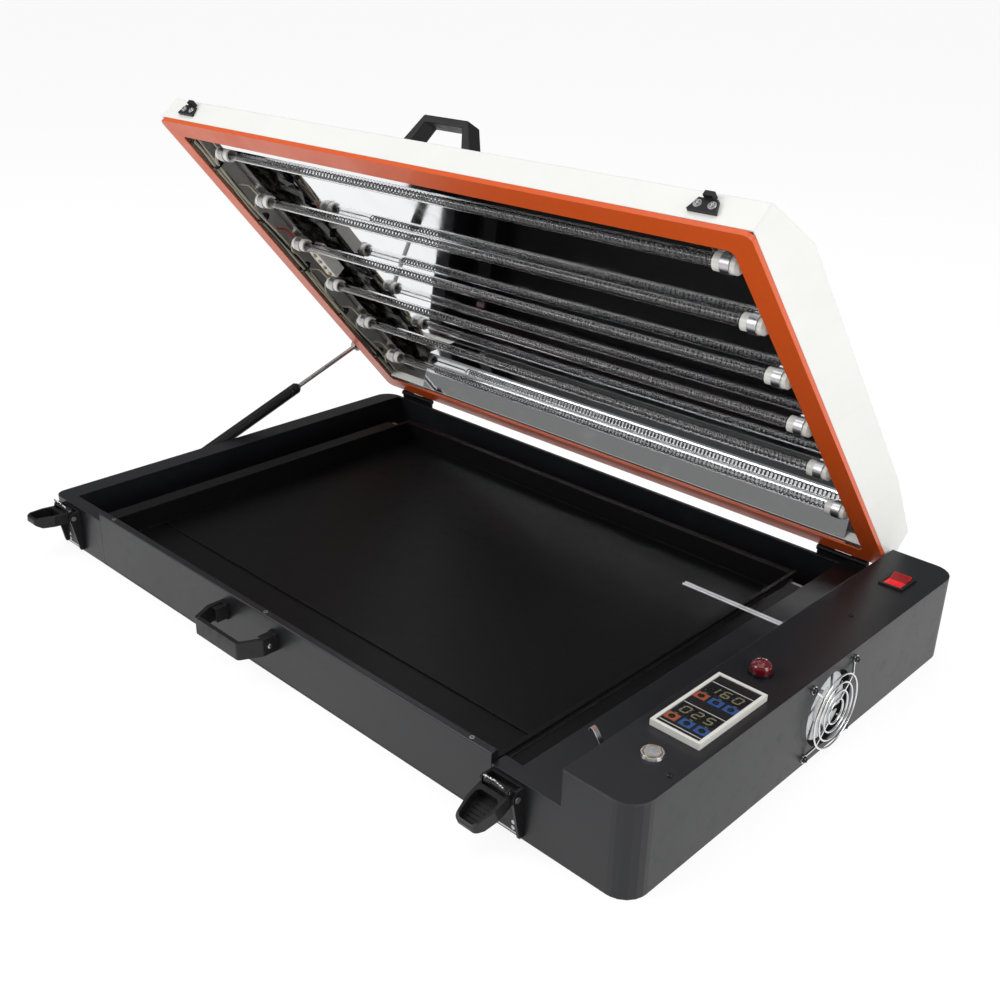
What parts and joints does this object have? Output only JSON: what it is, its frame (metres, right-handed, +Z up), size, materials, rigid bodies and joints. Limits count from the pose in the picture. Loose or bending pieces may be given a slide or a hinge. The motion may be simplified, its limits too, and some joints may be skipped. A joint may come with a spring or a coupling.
{
  "type": "film curing oven",
  "caption": "Table-top curing oven with a hinged infrared lid, a pull-out tray and a side control console.",
  "frame": {"origin": "centre of the underside of the base, on the table", "axes": "+X from the left wall to the control console, +Y from the front to the rear, +Z up"},
  "size_m": [0.8854, 0.6075, 0.4997],
  "materials": {
    "charcoal_steel": "fine textured powder coat",
    "black_steel": "satin black",
    "black_plastic": "matt",
    "white_paint": "satin",
    "orange_paint": "satin",
    "mirror_sheet": "polished",
    "bright_steel": "satin",
    "chrome": "polished",
    "quartz": "clear",
    "filament_wire": "oxidised",
    "ceramic": "glazed ceramic",
    "loom": "woven sleeve",
    "red_lens": "translucent",
    "red_plastic": "gloss"
  },
  "bodies": {
    "base": {"base_shell": "charcoal_steel", "bottom_plate": "charcoal_steel", "console_cover": "charcoal_steel", "slide_rails": "black_steel", "hinge_base_leaves": "black_steel", "hinge_pins": "black_steel", "strut_base_stud": "bright_steel", "latch_housings": "black_plastic", "latch_pins": "bright_steel", "controller_bezel": "bright_steel", "controller_body": "black_plastic", "start_button_ring": "chrome", "lamp_collar": "chrome", "lamp_dome": "red_lens", "rocker_frame": "black_plastic", "fan_frame": "black_plastic", "fan_guard": "chrome", "panel_screws": "bright_steel", "limit_switch_body": "black_plastic", "probe_gland": "bright_steel", "probe_rods": "bright_steel", "power_inlet": "black_plastic"},
    "drawer": {"tray_pan": "black_steel", "drawer_front": "charcoal_steel", "tray_plate": "black_steel", "drawer_screws": "bright_steel", "tray_runners": "bright_steel", "handle_brackets": "black_plastic", "drawer_handle": "black_plastic"},
    "lid": {"lid_shell": "white_paint", "lid_frame": "orange_paint", "reflector": "mirror_sheet", "tube_brackets": "bright_steel", "quartz_tubes": "quartz", "filaments": "filament_wire", "tube_caps": "ceramic", "tube_clips": "bright_steel", "terminal_block": "ceramic", "lid_wiring": "loom", "lid_handle": "black_plastic", "keepers": "black_plastic", "keeper_screws": "bright_steel", "hinge_lid_leaves": "black_steel", "strut_lid_stud": "bright_steel"},
    "strut_cylinder_body": {"strut_cylinder": "black_plastic"},
    "strut_rod_body": {"strut_rod": "bright_steel"},
    "latch_left": {"latch_lever_left": "black_plastic"},
    "latch_right": {"latch_lever_right": "black_plastic"},
    "hook_left": {"latch_hook_left": "bright_steel"},
    "hook_right": {"latch_hook_right": "bright_steel"},
    "start_button_body": {"start_button": "chrome"},
    "rocker_body": {"rocker_switch": "red_plastic"},
    "fan_rotor_body": {"fan_rotor": "black_plastic"},
    "switch_lever_body": {"limit_switch_lever": "bright_steel"},
    "key_1_body": {"key_1": "black_plastic"},
    "key_2_body": {"key_2": "black_plastic"},
    "key_3_body": {"key_3": "black_plastic"},
    "key_4_body": {"key_4": "black_plastic"},
    "key_5_body": {"key_5": "black_plastic"},
    "key_6_body": {"key_6": "black_plastic"}
  },
  "joints": [
    {"name": "lid_hinge", "type": "hinge", "parent": "base", "child": "lid", "pos_m": [0, 0.2605, 0.0625], "axis": [1, 0, 0], "range_deg": [0, 49.6]},
    {"name": "strut_swing", "type": "hinge", "parent": "base", "child": "strut_cylinder_body", "pos_m": [-0.44, -0.11, 0.021], "axis": [1, 0, 0], "range_deg": [-9.52, 0]},
    {"name": "strut_slide", "type": "slide", "parent": "strut_cylinder_body", "child": "strut_rod_body", "axis": [0, 0.9436, 0.331], "range_m": [-0.05131, 0]},
    {"name": "drawer_slide", "type": "slide", "parent": "base", "child": "drawer", "axis": [0, -1, 0], "range_m": [0, 0.36]},
    {"name": "latch_left_hinge", "type": "hinge", "parent": "base", "child": "latch_left", "pos_m": [-0.389, -0.269, 0.045], "axis": [1, 0, 0], "range_deg": [-25, 95]},
    {"name": "latch_right_hinge", "type": "hinge", "parent": "base", "child": "latch_right", "pos_m": [0.305, -0.269, 0.045], "axis": [1, 0, 0], "range_deg": [-50, 70]},
    {"name": "hook_left_hinge", "type": "hinge", "parent": "latch_left", "child": "hook_left", "pos_m": [-0.389, -0.27025, 0.05364], "axis": [1, 0, 0], "range_deg": [-22, 50]},
    {"name": "hook_right_hinge", "type": "hinge", "parent": "latch_right", "child": "hook_right", "pos_m": [0.305, -0.27379, 0.0523], "axis": [1, 0, 0], "range_deg": [-22, 50]},
    {"name": "start_button_press", "type": "slide", "parent": "base", "child": "start_button_body", "axis": [0, 0, -1], "range_m": [0, 0.0015], "stiffness_N_per_m": 600},
    {"name": "rocker_tilt", "type": "hinge", "parent": "base", "child": "rocker_body", "pos_m": [0.397, 0.197, 0.09], "axis": [1, 0, 0], "range_deg": [-16, 0]},
    {"name": "fan_spin", "type": "hinge", "parent": "base", "child": "fan_rotor_body", "pos_m": [0.42, 0.02, 0.044], "axis": [1, 0, 0], "continuous": true},
    {"name": "limit_switch_press", "type": "hinge", "parent": "base", "child": "switch_lever_body", "pos_m": [0.365, -0.202, 0.061], "axis": [0, 1, 0], "range_deg": [-52.1, 0]},
    {"name": "key_1_press", "type": "slide", "parent": "base", "child": "key_1_body", "axis": [0, 0, -1], "range_m": [0, 0.0008], "stiffness_N_per_m": 500},
    {"name": "key_2_press", "type": "slide", "parent": "base", "child": "key_2_body", "axis": [0, 0, -1], "range_m": [0, 0.0008], "stiffness_N_per_m": 500},
    {"name": "key_3_press", "type": "slide", "parent": "base", "child": "key_3_body", "axis": [0, 0, -1], "range_m": [0, 0.0008], "stiffness_N_per_m": 500},
    {"name": "key_4_press", "type": "slide", "parent": "base", "child": "key_4_body", "axis": [0, 0, -1], "range_m": [0, 0.0008], "stiffness_N_per_m": 500},
    {"name": "key_5_press", "type": "slide", "parent": "base", "child": "key_5_body", "axis": [0, 0, -1], "range_m": [0, 0.0008], "stiffness_N_per_m": 500},
    {"name": "key_6_press", "type": "slide", "parent": "base", "child": "key_6_body", "axis": [0, 0, -1], "range_m": [0, 0.0008], "stiffness_N_per_m": 500}
  ],
  "couplings": [
    {"joint": "strut_swing", "follows": "lid_hinge", "ratio": -0.19159},
    {"joint": "strut_slide", "follows": "lid_hinge", "m_per_rad": -0.059154},
    {"joint": "limit_switch_press", "follows": "lid_hinge", "ratio": -1.0484}
  ]
}
